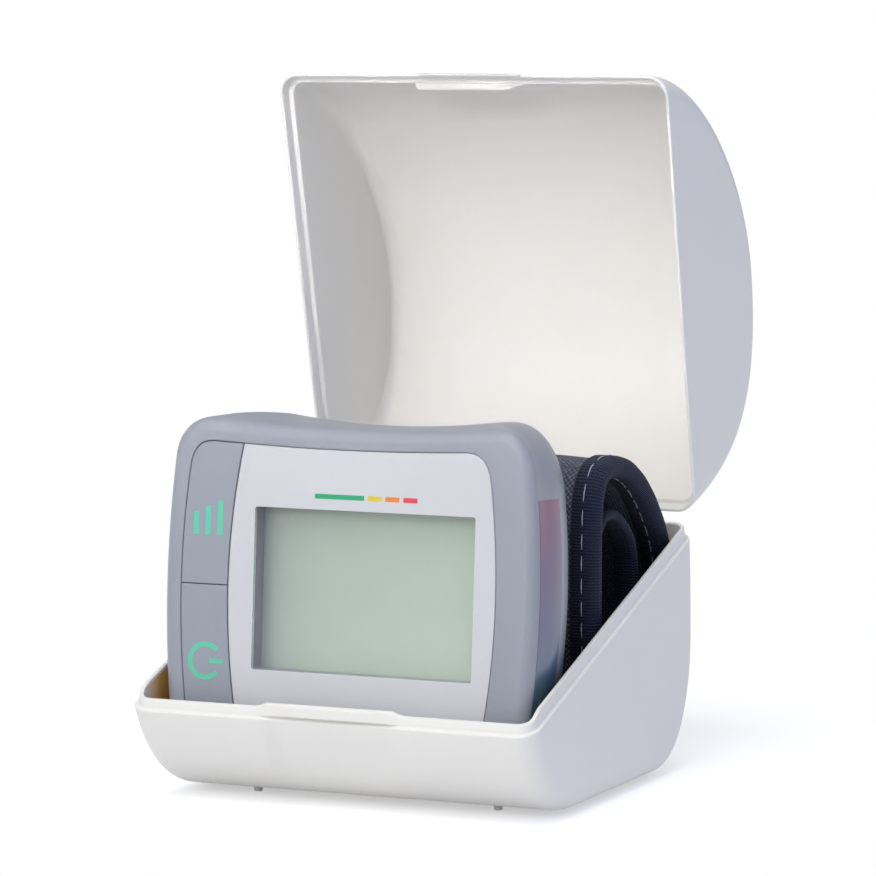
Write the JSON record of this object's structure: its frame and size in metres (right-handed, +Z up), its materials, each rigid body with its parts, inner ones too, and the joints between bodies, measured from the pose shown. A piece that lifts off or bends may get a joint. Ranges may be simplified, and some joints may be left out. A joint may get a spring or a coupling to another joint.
{
  "type": "wrist_blood_pressure_monitor",
  "caption": "Wrist blood pressure monitor with a padded cuff, standing on its side in an open white clamshell storage case",
  "frame": {"origin": "On the surface that the case stands on, under the middle of the bounding box of the open case", "axes": "+Z up, -Y to the front of the case and of the display, +X to the right of the display, along the wrist"},
  "size_m": [0.0902, 0.1284, 0.1491],
  "materials": {
    "case_plastic": "white moulded plastic with a soft gloss",
    "housing_plastic": "grey moulded plastic with a satin coat",
    "key_plastic": "satin grey keys with printed signs",
    "lens_print": "pale silver print behind a glossy plate",
    "clear_window": "clear acrylic",
    "display_cell": "grey green liquid crystal cell, switched off",
    "black_plastic": "matt black plastic",
    "contact_rubber": "conductive rubber",
    "circuit_board": "green coated board",
    "steel": "plated steel",
    "air_rubber": "pale silicone rubber",
    "cell_jacket": "bare gold and black jacket",
    "cuff_mesh": "dark grey knitted mesh",
    "cuff_cloth": "navy brushed cloth",
    "cuff_tape": "navy ribbed edge tape with pale stitches",
    "hook_pad": "black hook fastener",
    "stiffener_plastic": "thin bent plastic",
    "bladder_film": "soft welded film"
  },
  "bodies": {
    "case": {"case_base": "case_plastic"},
    "lid": {"case_lid": "case_plastic"},
    "monitor": {"front_housing": "housing_plastic", "rear_housing": "housing_plastic", "lens_panel": "lens_print", "display_window": "clear_window", "display_glass": "display_cell", "display_frame": "black_plastic", "display_connector_lower": "contact_rubber", "display_connector_upper": "contact_rubber", "main_board": "circuit_board", "memory_switch": "black_plastic", "power_switch": "black_plastic", "pump_motor": "steel", "pump_head": "black_plastic", "exhaust_valve": "steel", "pressure_sensor": "black_plastic", "buzzer": "black_plastic", "air_manifold": "air_rubber", "air_port": "air_rubber", "battery_front": "cell_jacket", "battery_rear": "cell_jacket", "battery_contact_left": "steel", "battery_contact_right": "steel", "housing_screw_1": "steel", "housing_screw_2": "steel", "housing_screw_3": "steel", "housing_screw_4": "steel", "cuff_bracket": "black_plastic", "cuff_cover": "cuff_mesh", "cuff_lining": "cuff_cloth", "cuff_stiffener": "stiffener_plastic", "cuff_bladder": "bladder_film", "cuff_binding_left": "cuff_tape", "cuff_binding_right": "cuff_tape", "cuff_tail": "cuff_cloth", "cuff_fastener": "hook_pad"},
    "memory_key": {"memory_button": "key_plastic"},
    "power_key": {"power_button": "key_plastic"},
    "battery_cover": {"battery_door": "housing_plastic"}
  },
  "joints": [
    {"name": "lid_hinge", "type": "hinge", "parent": "case", "child": "lid", "pos_m": [0, 0.02865, 0.0524], "axis": [1, 0, 0], "range_deg": [0, 96.3]},
    {"name": "monitor_slide", "type": "slide", "parent": "case", "child": "monitor", "axis": [0, 0.9243, -0.3816], "range_m": [0, 0.01677], "deforming": ["cuff_cover", "cuff_lining", "cuff_stiffener", "cuff_bladder", "cuff_binding_left", "cuff_binding_right", "cuff_tail", "cuff_fastener"]},
    {"name": "memory_press", "type": "slide", "parent": "monitor", "child": "memory_key", "axis": [0, 0.9976, -0.0698], "range_m": [0, 0.0005], "stiffness_N_per_m": 1500},
    {"name": "power_press", "type": "slide", "parent": "monitor", "child": "power_key", "axis": [0, 0.9976, -0.0698], "range_m": [0, 0.0005], "stiffness_N_per_m": 1500},
    {"name": "battery_door_slide", "type": "slide", "parent": "monitor", "child": "battery_cover", "axis": [0, 0.9976, -0.0698], "range_m": [0, 0.005]}
  ],
  "couplings": [
    {"joint": "monitor_slide", "follows": "lid_hinge", "m_per_rad": 0.0099773}
  ]
}
